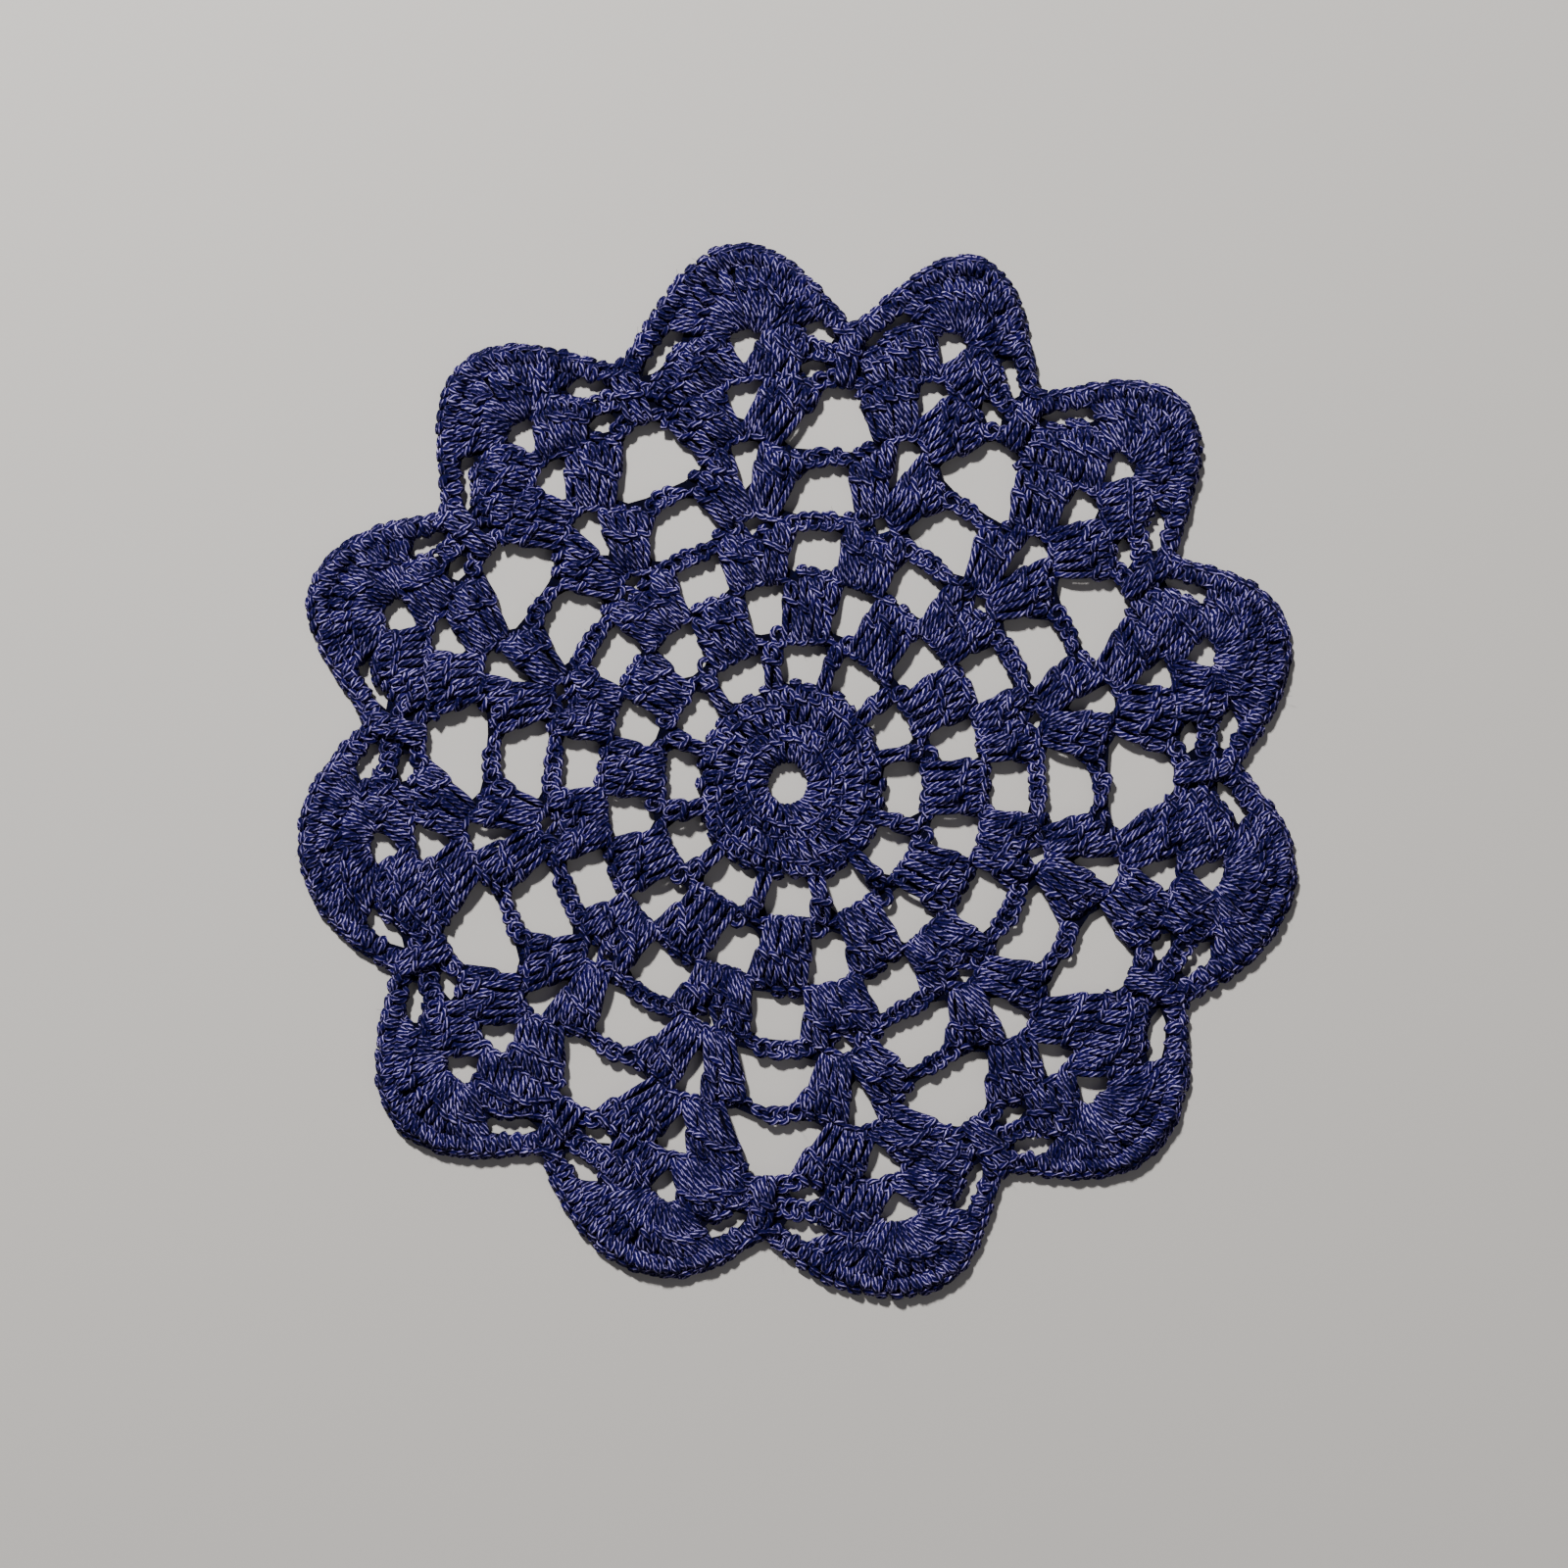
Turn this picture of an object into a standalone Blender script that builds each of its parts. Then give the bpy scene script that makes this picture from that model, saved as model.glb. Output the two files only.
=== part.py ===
"""A round crocheted lace doily with twelve petals: one flat openwork cloth.

The lace is drawn first on an even chart of twelve equal sectors. On the chart a place is
a turn, counted in sectors from the first petal, and a distance out from the middle. Whole
turns run along the petals, half turns along the ties between two petals. The handmade
piece is uneven, so each petal and each tie has a row that says where it really lies, and
every point of the chart is carried there. Lengths are millimetres until the curve is made.
"""
import math
from collections import namedtuple

import bmesh
import bpy
from mathutils import Euler, Matrix, Vector

MILLIMETRE = 0.001
THICKNESS = 3.0
WELD_DISTANCE = 0.00001
SHARP_EDGE_DEGREES = 40

SECTORS = 12
SECTOR_ANGLE = 2 * math.pi / SECTORS

# The even chart: how far out each level lies, in millimetres
CHART_SLOT = 23.4
CHART_WINDOW = 34.9
CHART_ARCH = 58.0
CHART_SHELL = 64.9
CHART_KNOT = 84.8
CHART_FAN = 88.5
CHART_VALLEY = 92.4
CHART_TIP = 107.6
CENTRE_HOLE_RADIUS = 4.4
CENTRE_HOLE_POINTS = 16

# A petal bulges from its valleys to its tip as (1 - across squared) to this power
PETAL_FULLNESS = 1.45
POINTS_PER_HALF_PETAL = 10

# The knot that draws the loops together at each tie stands a little proud of the cloth
KNOT_WIDTH = 7.0
KNOT_LENGTH = 7.6
KNOT_RISE = 0.7
KNOT_DEPTH = 2.4
KNOT_SIDES = 12
KNOT_RINGS = 6

# Where each petal lies: the direction, in degrees, of its first post, of its stacked shells
# and of its tip, and how far out its window, its middle shell, its fan's foot and its tip are
Petal = namedtuple("Petal", "post shell tip window_out shell_out fan_out tip_out")
PETALS = [
    Petal(15, 15, 17.8, 35.1, 64.5, 88.6, 107.2),
    Petal(41.3, 43.7, 43.5, 35.4, 66.5, 93.3, 112.8),
    Petal(69.5, 70.8, 69.3, 37.0, 69.2, 95.1, 114.6),
    Petal(95.8, 98, 95, 35.7, 65.8, 89.8, 111.0),
    Petal(128.5, 128, 127.3, 33.8, 64.3, 88.7, 108.6),
    Petal(157.5, 158, 156.4, 32.8, 61.7, 86.0, 105.6),
    Petal(196.5, 190, 189, 32.3, 61.8, 83.2, 100.6),
    Petal(224.5, 222, 221.3, 34.1, 65.2, 87.3, 106.2),
    Petal(256.5, 252, 253.7, 34.9, 61.7, 85.6, 104.4),
    Petal(287.3, 283, 285.3, 36.5, 67.3, 89.3, 108.0),
    Petal(313.3, 313.5, 315, 35.7, 65.3, 87.2, 106.6),
    Petal(339.8, 345, 348.8, 35.2, 65.8, 88.2, 105.6),
]

# Where each tie lies, between its petal and the next: the direction of its slot beside the
# disc, of its arches and of its knot, and how far out the slot, the arch and the knot are
Tie = namedtuple("Tie", "slot arch knot slot_out arch_out knot_out")
TIES = [
    Tie(28.5, 28.5, 30, 24.1, 58.8, 85.0),
    Tie(55.8, 56.3, 57, 24.9, 60.0, 88.4),
    Tie(82, 82, 81.7, 24.9, 60.7, 87.8),
    Tie(111.3, 112.5, 112, 23.3, 56.2, 85.4),
    Tie(143.5, 144, 141.5, 22.5, 55.1, 83.0),
    Tie(177.5, 175, 171.5, 21.3, 53.9, 80.4),
    Tie(210.5, 206.5, 205.3, 22.7, 56.3, 82.4),
    Tie(240.5, 235.8, 236.3, 22.3, 59.2, 84.0),
    Tie(272.5, 267.8, 266.5, 22.3, 61.8, 86.0),
    Tie(300.3, 297.3, 299.3, 24.3, 58.3, 84.0),
    Tie(326.3, 329.3, 331.3, 24.7, 58.5, 86.2),
    Tie(356.8, 359.3, 362, 24.0, 57.3, 85.4),
]

# The gaps of one sector. at is the turn of the gap's middle, low and high are its inner and
# outer ends, half_low and half_high half its width there, lean how far its outer end is
# pushed round, and corner the roundness: 2 is an ellipse, 4 nearly a box
Gap = namedtuple("Gap", "at low high half_low half_high lean corner points")
GAPS = {
    "slot": Gap(0.5, 20.0, 27.4, 3.9, 4.4, 0, 3.4, 12),
    "window": Gap(0, 31.0, 39.8, 3.0, 4.9, 0, 3.2, 12),
    "low_arch": Gap(0.5, 42.2, 49.3, 5.4, 6.0, 0, 3.8, 12),
    "low_eye": Gap(0, 50.9, 54.3, 2.0, 2.5, 0, 2.4, 8),
    "middle_arch": Gap(0.5, 53.7, 62.4, 8.4, 5.0, 0, 3.6, 14),
    "middle_eye": Gap(0, 61.0, 68.9, 0.8, 3.7, 0, 2.6, 10),
    "high_arch": Gap(0.5, 66.7, 78.4, 11.0, 3.2, 0, 3.4, 16),
    "high_eye": Gap(0, 74.8, 81.0, 1.6, 4.6, 0, 2.3, 10),
    "tie_eye": Gap(-0.34, 81.2, 83.2, 1.9, 1.9, 0.4, 2.0, 6),
    "fan_eye": Gap(0, 85.8, 91.4, 2.0, 5.2, 0, 2.5, 10),
    "left_eye": Gap(-0.34, 87.6, 93.0, 2.6, 2.6, 0.8, 2.4, 8),
    "right_slit": Gap(0.32, 88.0, 93.8, 1.5, 1.5, -3.4, 2.2, 8),
}


def between(value, places, results):
    """Straight-line reading of results at value, held level before the first place."""
    if value <= places[0]:
        return results[0]
    for start in range(len(places) - 1):
        if value <= places[start + 1]:
            share = (value - places[start]) / (places[start + 1] - places[start])
            return results[start] + share * (results[start + 1] - results[start])
    return results[-1] + value - places[-1]


def petal_place(number, out):
    """Direction in degrees and real distance out, along a petal's own middle line."""
    petal = PETALS[number % SECTORS]
    whole_turns = 360 * (number // SECTORS)
    direction = between(
        out,
        [CHART_SLOT, CHART_WINDOW, CHART_SHELL, CHART_FAN],
        [petal.post, petal.shell, petal.shell, petal.tip],
    )
    if out > CHART_FAN:
        direction = petal.tip
    real_out = between(
        out,
        [0, CHART_WINDOW, CHART_SHELL, CHART_FAN, CHART_TIP],
        [0, petal.window_out, petal.shell_out, petal.fan_out, petal.tip_out],
    )
    return direction + whole_turns, real_out


def tie_place(number, out):
    """Direction in degrees and real distance out, along the line of a tie."""
    tie = TIES[number % SECTORS]
    whole_turns = 360 * (number // SECTORS)
    direction = between(
        out,
        [CHART_SLOT, CHART_WINDOW, CHART_SHELL, CHART_KNOT],
        [tie.slot, tie.arch, tie.arch, tie.knot],
    )
    if out > CHART_KNOT:
        direction = tie.knot
    real_out = between(
        out,
        [0, CHART_SLOT, CHART_ARCH, CHART_KNOT],
        [0, tie.slot_out, tie.arch_out, tie.knot_out],
    )
    return direction + whole_turns, real_out


def laid(turn, out):
    """Real x and y of a chart place, between its petal and the tie on that side."""
    petal_number = round(turn)
    across = 2 * (turn - petal_number)
    tie_number = petal_number if across > 0 else petal_number - 1
    petal_direction, petal_out = petal_place(petal_number, out)
    tie_direction, tie_out = tie_place(tie_number, out)
    direction = petal_direction + abs(across) * (tie_direction - petal_direction)
    towards_tie = (1 - math.cos(math.pi * abs(across))) / 2
    real_out = petal_out + towards_tie * (tie_out - petal_out)
    angle = math.radians(direction)
    return real_out * math.cos(angle), real_out * math.sin(angle)


def outer_edge():
    """The scalloped edge: one bulge for each petal, from valley to tip to valley."""
    points = []
    steps = 2 * POINTS_PER_HALF_PETAL
    for number in range(SECTORS):
        for step in range(steps):
            across = step / POINTS_PER_HALF_PETAL - 1
            bulge = (1 - across * across) ** PETAL_FULLNESS
            out = CHART_VALLEY + (CHART_TIP - CHART_VALLEY) * bulge
            points.append(laid(number + across / 2, out))
    return points


def rounded(angle, corner):
    """Cosine and sine drawn out towards a box as corner grows past 2."""
    cosine = math.cos(angle)
    sine = math.sin(angle)
    side = math.copysign(abs(cosine) ** (2 / corner), cosine)
    height = math.copysign(abs(sine) ** (2 / corner), sine)
    return side, height


def gap_edge(number, gap):
    """The edge of one gap: a rounded outline that widens or narrows outwards."""
    points = []
    middle = (gap.low + gap.high) / 2
    half_height = (gap.high - gap.low) / 2
    for step in range(gap.points):
        side, height = rounded(2 * math.pi * (step + 0.5) / gap.points, gap.corner)
        out = middle + half_height * height
        half_width = gap.half_low + (gap.half_high - gap.half_low) * (height + 1) / 2
        offset = half_width * side + gap.lean * height
        points.append(laid(number + gap.at + offset / (out * SECTOR_ANGLE), out))
    return points


def centre_hole():
    """The ring in the middle that the first round is worked into."""
    points = []
    for step in range(CENTRE_HOLE_POINTS):
        points.append(laid(SECTORS * step / CENTRE_HOLE_POINTS, CENTRE_HOLE_RADIUS))
    return points


def all_gaps():
    """Every gap of the lace, sector by sector."""
    edges = [centre_hole()]
    for number in range(SECTORS):
        for gap in GAPS.values():
            edges.append(gap_edge(number, gap))
    return edges


def middle_of(points):
    """Middle of the points' box."""
    across = [point[0] for point in points]
    along = [point[1] for point in points]
    return (min(across) + max(across)) / 2, (min(along) + max(along)) / 2


def add_edge(curve, points, middle):
    """Adds one closed straight-sided edge to a flat curve."""
    spline = curve.splines.new("POLY")
    spline.points.add(len(points) - 1)
    for point, (x, y) in zip(spline.points, points):
        point.co = ((x - middle[0]) * MILLIMETRE, (y - middle[1]) * MILLIMETRE, 0, 1)
    spline.use_cyclic_u = True


def navy_yarn():
    """Navy cotton yarn."""
    material = bpy.data.materials.new("navy_yarn")
    material.use_nodes = True
    shader = material.node_tree.nodes["Principled BSDF"]
    shader.inputs["Base Color"].default_value = (0.010, 0.012, 0.08, 1)
    shader.inputs["Roughness"].default_value = 0.85
    shader.inputs["Metallic"].default_value = 0
    return material


def mesh_of(flat_object):
    """Makes a curve object a mesh object in its place, with its caps joined to its walls."""
    graph = bpy.context.evaluated_depsgraph_get()
    mesh = bpy.data.meshes.new_from_object(flat_object.evaluated_get(graph))
    work = bmesh.new()
    work.from_mesh(mesh)
    bmesh.ops.remove_doubles(work, verts=work.verts, dist=WELD_DISTANCE)
    work.to_mesh(mesh)
    work.free()
    mesh.shade_smooth()
    mesh.set_sharp_from_angle(angle=math.radians(SHARP_EDGE_DEGREES))
    solid = bpy.data.objects.new("doily", mesh)
    solid.matrix_world = flat_object.matrix_world.copy()
    bpy.data.objects.remove(flat_object)
    return solid


def make_lace(collection, outline, middle):
    """The whole cloth: the scalloped outline with its gaps, raised to its thickness."""
    curve = bpy.data.curves.new("doily_outline", "CURVE")
    curve.dimensions = "2D"
    curve.fill_mode = "BOTH"
    curve.extrude = THICKNESS / 2 * MILLIMETRE
    for edge in [outline] + all_gaps():
        add_edge(curve, edge, middle)
    curve.materials.append(navy_yarn())
    flat_object = bpy.data.objects.new("doily_outline", curve)
    flat_object.location.z = THICKNESS / 2 * MILLIMETRE
    collection.objects.link(flat_object)
    bpy.context.view_layer.update()
    lace = mesh_of(flat_object)
    collection.objects.link(lace)
    return lace


def make_knots(collection, middle):
    """Twelve flattened balls, one on each tie, as one mesh to be joined to the cloth."""
    work = bmesh.new()
    for number in range(SECTORS):
        x, y = laid(number + 0.5, CHART_KNOT)
        place = Vector((x - middle[0], y - middle[1], THICKNESS + KNOT_RISE - KNOT_DEPTH / 2))
        size = Vector((KNOT_LENGTH / 2, KNOT_WIDTH / 2, KNOT_DEPTH / 2))
        turned = Matrix.LocRotScale(place, Euler((0, 0, math.atan2(y, x))), size)
        bmesh.ops.create_uvsphere(
            work,
            u_segments=KNOT_SIDES,
            v_segments=KNOT_RINGS,
            radius=1,
            matrix=Matrix.Scale(MILLIMETRE, 4) @ turned,
        )
    mesh = bpy.data.meshes.new("knots")
    work.to_mesh(mesh)
    work.free()
    knots = bpy.data.objects.new("knots", mesh)
    knots.hide_render = True
    knots.display_type = "WIRE"
    collection.objects.link(knots)
    return knots


def join(solid, other):
    """Joins the other mesh to the solid as one body."""
    union = solid.modifiers.new("knots", "BOOLEAN")
    union.operation = "UNION"
    union.object = other


def clear_scene():
    """Removes whatever the open file holds."""
    for item in list(bpy.data.objects):
        bpy.data.objects.remove(item)


def new_collection(name):
    """A new collection in the scene."""
    collection = bpy.data.collections.new(name)
    bpy.context.scene.collection.children.link(collection)
    return collection


def main():
    clear_scene()
    outline = outer_edge()
    middle = middle_of(outline)
    lace = make_lace(new_collection("lace_doily"), outline, middle)
    knots = make_knots(new_collection("joined_shapes"), middle)
    join(lace, knots)


main()
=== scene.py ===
# %% [markdown]
# # A crocheted lace doily, stitch by stitch
#
# A doily is one long yarn, looped with a hook round after round from the middle outwards.
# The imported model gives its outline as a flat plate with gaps. This lesson lays real loops of
# yarn where that plate lies: tall stitches, short stitches, chains and the knots that draw
# the petals together. A pattern of bumps on the plate would be quicker, but from the side and
# in close-up it would still be a plate, so every strand here is a round tube.

# %% The frame and the tools
import math
from collections import namedtuple

import bpy
import numpy as np
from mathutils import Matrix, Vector
from mathutils.geometry import delaunay_2d_cdt


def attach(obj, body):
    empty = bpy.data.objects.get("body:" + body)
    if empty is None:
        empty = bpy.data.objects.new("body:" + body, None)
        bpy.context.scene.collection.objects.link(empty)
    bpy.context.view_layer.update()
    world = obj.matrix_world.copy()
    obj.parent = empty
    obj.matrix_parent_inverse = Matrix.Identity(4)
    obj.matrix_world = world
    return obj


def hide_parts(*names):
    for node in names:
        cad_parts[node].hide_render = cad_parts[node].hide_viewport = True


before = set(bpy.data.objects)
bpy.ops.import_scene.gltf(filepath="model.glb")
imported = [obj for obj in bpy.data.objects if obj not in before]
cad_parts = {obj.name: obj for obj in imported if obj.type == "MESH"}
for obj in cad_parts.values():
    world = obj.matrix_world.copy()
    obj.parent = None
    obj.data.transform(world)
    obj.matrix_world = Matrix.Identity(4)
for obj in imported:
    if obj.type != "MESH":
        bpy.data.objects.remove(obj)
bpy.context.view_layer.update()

# %% [markdown]
# ## Where every stitch lies
#
# The maker works twelve equal sectors, but nothing handmade is even. So the stitches are
# placed on an even chart, and the chart is bent to the real piece. A place on the chart is a
# turn, counted in sectors from the first petal, and a distance out from the middle. Whole
# turns run along the petals and half turns along the ties between them. One row for each
# petal and one for each tie say where its levels really lie. These are the plate's own
# sizes, in millimetres, so the yarn and the plate agree everywhere.

# %% The chart's levels and the rows of the petals and ties
MILLIMETRE = 0.001
SECTORS = 12
SECTOR_ANGLE = 2 * math.pi / SECTORS

CHART_SLOT = 23.4
CHART_WINDOW = 34.9
CHART_ARCH = 58.0
CHART_SHELL = 64.9
CHART_KNOT = 84.8
CHART_FAN = 88.5
CHART_VALLEY = 92.4
CHART_TIP = 107.6
PETAL_FULLNESS = 1.45

# direction of the first post, the stacked shells and the tip in degrees, and the distance
# out of the window, the middle shell, the fan's foot and the tip
PETALS = np.array([
    (15, 15, 17.8, 35.1, 64.5, 88.6, 107.2),
    (41.3, 43.7, 43.5, 35.4, 66.5, 93.3, 112.8),
    (69.5, 70.8, 69.3, 37.0, 69.2, 95.1, 114.6),
    (95.8, 98, 95, 35.7, 65.8, 89.8, 111.0),
    (128.5, 128, 127.3, 33.8, 64.3, 88.7, 108.6),
    (157.5, 158, 156.4, 32.8, 61.7, 86.0, 105.6),
    (196.5, 190, 189, 32.3, 61.8, 83.2, 100.6),
    (224.5, 222, 221.3, 34.1, 65.2, 87.3, 106.2),
    (256.5, 252, 253.7, 34.9, 61.7, 85.6, 104.4),
    (287.3, 283, 285.3, 36.5, 67.3, 89.3, 108.0),
    (313.3, 313.5, 315, 35.7, 65.3, 87.2, 106.6),
    (339.8, 345, 348.8, 35.2, 65.8, 88.2, 105.6),
])

# direction of the slot beside the disc, the arches and the knot in degrees, and the distance
# out of the slot, the middle arch and the knot; each tie follows the petal of its row
TIES = np.array([
    (28.5, 28.5, 30, 24.1, 58.8, 85.0),
    (55.8, 56.3, 57, 24.9, 60.0, 88.4),
    (82, 82, 81.7, 24.9, 60.7, 87.8),
    (111.3, 112.5, 112, 23.3, 56.2, 85.4),
    (143.5, 144, 141.5, 22.5, 55.1, 83.0),
    (177.5, 175, 171.5, 21.3, 53.9, 80.4),
    (210.5, 206.5, 205.3, 22.7, 56.3, 82.4),
    (240.5, 235.8, 236.3, 22.3, 59.2, 84.0),
    (272.5, 267.8, 266.5, 22.3, 61.8, 86.0),
    (300.3, 297.3, 299.3, 24.3, 58.3, 84.0),
    (326.3, 329.3, 331.3, 24.7, 58.5, 86.2),
    (356.8, 359.3, 362, 24.0, 57.3, 85.4),
])

# %% Reading the rows between their levels
PETAL_TURNS = PETALS[:, [0, 1, 1, 2]]
PETAL_OUTS = np.column_stack([np.zeros(SECTORS), PETALS[:, 3:]])
TIE_TURNS = TIES[:, [0, 1, 1, 2]]
TIE_OUTS = np.column_stack([np.zeros(SECTORS), TIES[:, 3:]])


def read_level(number, out, levels, rows):
    """Each place's value in its row: along straight lines from one level to the next."""
    levels = np.array(levels, float)
    start = np.clip(np.searchsorted(levels, out) - 1, 0, len(levels) - 2)
    share = np.clip((out - levels[start]) / (levels[start + 1] - levels[start]), 0, 1)
    row = number % SECTORS
    return rows[row, start] + share * (rows[row, start + 1] - rows[row, start])


def laid(turn, out):
    """Real x and y of chart places. The direction turns evenly from the petal's line to the
    tie's, and the distance out passes over along half a cosine wave."""
    turn, out = np.broadcast_arrays(np.asarray(turn, float), np.asarray(out, float))
    petal = np.round(turn).astype(int)
    across = 2 * (turn - petal)
    tie = np.where(across > 0, petal, petal - 1)
    inner = [CHART_SLOT, CHART_WINDOW, CHART_SHELL]
    petal_turn = read_level(petal, out, inner + [CHART_FAN], PETAL_TURNS) + 360 * (petal // SECTORS)
    tie_turn = read_level(tie, out, inner + [CHART_KNOT], TIE_TURNS) + 360 * (tie // SECTORS)
    petal_out = read_level(
        petal, out, [0, CHART_WINDOW, CHART_SHELL, CHART_FAN, CHART_TIP], PETAL_OUTS)
    tie_out = read_level(tie, out, [0, CHART_SLOT, CHART_ARCH, CHART_KNOT], TIE_OUTS)
    petal_out = petal_out + np.maximum(out - CHART_TIP, 0)
    tie_out = tie_out + np.maximum(out - CHART_KNOT, 0)
    across = np.abs(across)
    direction = np.radians(petal_turn + across * (tie_turn - petal_turn))
    real_out = petal_out + (1 - np.cos(np.pi * across)) / 2 * (tie_out - petal_out)
    return np.stack([real_out * np.cos(direction), real_out * np.sin(direction)], axis=-1)


def spot(turn, side, out):
    """The real place that lies side millimetres round from a turn's line, at out."""
    side, out = np.asarray(side, float), np.asarray(out, float)
    return laid(turn + side / (out * SECTOR_ANGLE), out)


def edge_of_petal(across):
    """Chart side and distance out of the scalloped edge: (1 - across squared) to a power."""
    out = CHART_VALLEY + (CHART_TIP - CHART_VALLEY) * (1 - across ** 2) ** PETAL_FULLNESS
    return across / 2 * SECTOR_ANGLE * out, out


across = np.linspace(-1, 1, 21)
side, out = edge_of_petal(across)
edge = spot(np.arange(SECTORS)[:, None], side, out).reshape(-1, 2)
MIDDLE = (edge.min(axis=0) + edge.max(axis=0)) / 2
print("the edge measures", np.round(np.ptp(edge, axis=0), 1), "mm")

# %% [markdown]
# ## One stitch as a path of yarn
#
# Every stitch is the same short dance of the yarn: round the back, under the stitch below,
# up the front and through the last loop. Its places are written down once, in a small
# table, and laid between the foot and the top of each stitch. side counts yarn thicknesses
# in the direction of work, rise runs from 0 at the foot to 1 at the top, and lift counts
# thicknesses above the middle of the cloth. Copying a finished mesh would be less work, but
# a path follows its neighbours, so the loops of one stitch really close round the next.

# %% The tall stitch, the short stitch and the chain link
YARN = 1.38
Place = namedtuple("Place", "side rise lift")

TALL_STITCH = [
    Place(-1.05, 1.00, 0.10),
    Place(-0.85, 0.84, -0.65),
    Place(-0.78, 0.62, -0.40),
    Place(-0.55, 0.51, 0.45),
    Place(0.05, 0.57, 0.92),
    Place(0.65, 0.65, 0.40),
    Place(0.60, 0.50, -0.60),
    Place(0.30, 0.22, -0.70),
    Place(0.15, 0.00, -0.45),
    Place(0.36, -0.05, 0.25),
    Place(0.50, 0.12, 0.66),
    Place(0.44, 0.36, 0.58),
    Place(0.20, 0.54, 0.05),
    Place(-0.20, 0.54, 0.05),
    Place(-0.44, 0.36, 0.58),
    Place(-0.50, 0.12, 0.66),
    Place(-0.36, -0.05, 0.25),
    Place(-0.15, 0.00, -0.45),
    Place(-0.05, 0.24, -0.75),
    Place(0.05, 0.50, -0.60),
    Place(0.30, 0.63, 0.30),
    Place(0.46, 0.78, 0.66),
    Place(0.25, 0.92, 0.40),
    Place(-0.25, 0.92, 0.40),
    Place(-0.46, 0.78, 0.66),
    Place(-0.25, 0.63, 0.20),
    Place(0.00, 0.74, -0.65),
    Place(0.15, 0.94, -0.45),
    Place(0.40, 0.97, 0.40),
    Place(0.95, 0.98, 0.75),
    Place(1.40, 1.02, 0.20),
    Place(1.00, 1.07, -0.15),
    Place(0.40, 1.05, -0.40),
]

SHORT_STITCH = [
    Place(-0.90, 1.00, 0.10),
    Place(-0.60, 0.70, -0.60),
    Place(-0.25, 0.10, -0.60),
    Place(0.10, -0.22, 0.00),
    Place(0.47, 0.05, 0.66),
    Place(0.42, 0.55, 0.72),
    Place(0.00, 0.80, 0.40),
    Place(-0.42, 0.55, 0.72),
    Place(-0.47, 0.05, 0.66),
    Place(-0.10, -0.22, 0.00),
    Place(0.00, 0.20, -0.70),
    Place(0.15, 0.75, -0.50),
    Place(0.40, 0.95, 0.40),
    Place(1.15, 0.98, 0.72),
    Place(1.85, 1.08, 0.20),
    Place(1.20, 1.22, -0.10),
    Place(0.35, 1.22, -0.30),
]

CHAIN_LINK = [
    Place(0.00, 0.00, -0.20),
    Place(0.22, -0.22, 0.15),
    Place(0.70, -0.66, 0.45),
    Place(1.18, -0.52, 0.30),
    Place(1.40, 0.00, -0.05),
    Place(1.18, 0.52, 0.30),
    Place(0.70, 0.66, 0.45),
    Place(0.22, 0.22, 0.15),
    Place(0.40, 0.00, -0.30),
]

# %% Laying stitches between their feet and tops
# heights and wanders are millimetres; slip, slack and tight are shares of a stitch
CLOTH_MIDDLE = 1.62
BULGE = 1.5
WANDER = 0.24
CHAIN_WANDER = 0.12
TREMBLE = 0.07
SLIP = 0.08
SLACK = 0.11
TIGHT = 0.55
hand = np.random.default_rng(12)


def by_hand(points, wander):
    """The same points, each moved a little as a hand would leave it."""
    return points + hand.normal(0, wander, points.shape)


def stitched(table, feet, along, upward, puff=0.0):
    """Path points of stitches with the given feet, one unit of side and one of rise.
    Each point is foot + side times along + rise times upward, at its lift. No two stitches
    are pulled alike: the middle of each slips a little up or down, by slip times the sine
    of its rise, and its loops are a little wider or narrower. Halfway up, the cloth puffs
    up by as many millimetres as puff says for each stitch."""
    places = np.array(table)
    stitches = feet.shape[:-1] + (1,)
    slip = hand.normal(0, SLIP, stitches) * np.sin(np.pi * np.clip(places[:, 1], 0, 1))
    slack = 1 + hand.normal(0, SLACK, stitches)
    side = (places[:, 0] * slack)[..., None]
    rise = (places[:, 1] + slip)[..., None]
    flat = feet[..., None, :] + side * along[..., None, :] + rise * upward[..., None, :]
    slack = 1 + hand.normal(0, SLACK, stitches)
    puffed = np.reshape(puff, (-1, 1)) * np.sin(np.pi * np.clip(places[:, 1], 0, 1))
    lift = np.broadcast_to(
        CLOTH_MIDDLE + YARN * places[:, 2] * slack + puffed, flat.shape[:-1])
    path = by_hand(np.concatenate([flat, lift[..., None]], axis=-1), TREMBLE)
    return path.reshape(feet.shape[0], -1, 3)


def upright(table, turn, foot_side, foot_out, top_side, top_out, width=1.0, wander=WANDER,
            bulge=BULGE):
    """A run of tall or short stitches in each sector, each from its foot to its top. The
    side unit is a yarn thickness, a quarter turn round from the stitch's own direction. The
    run is domed: its middle stitches bulge most, by half a sine wave across it."""
    turn = np.asarray(turn, float)[:, None]
    feet = by_hand(spot(turn, foot_side, foot_out), wander)
    tops = by_hand(spot(turn, top_side, top_out), wander)
    upward = tops - feet
    height = np.linalg.norm(upward, axis=-1, keepdims=True)
    along = np.stack([-upward[..., 1], upward[..., 0]], axis=-1) / height * YARN * width
    count = feet.shape[1]
    puff = bulge * np.sin(np.pi * (np.arange(count) + 0.5) / count)
    return stitched(table, feet, along, upward, puff)


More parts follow.
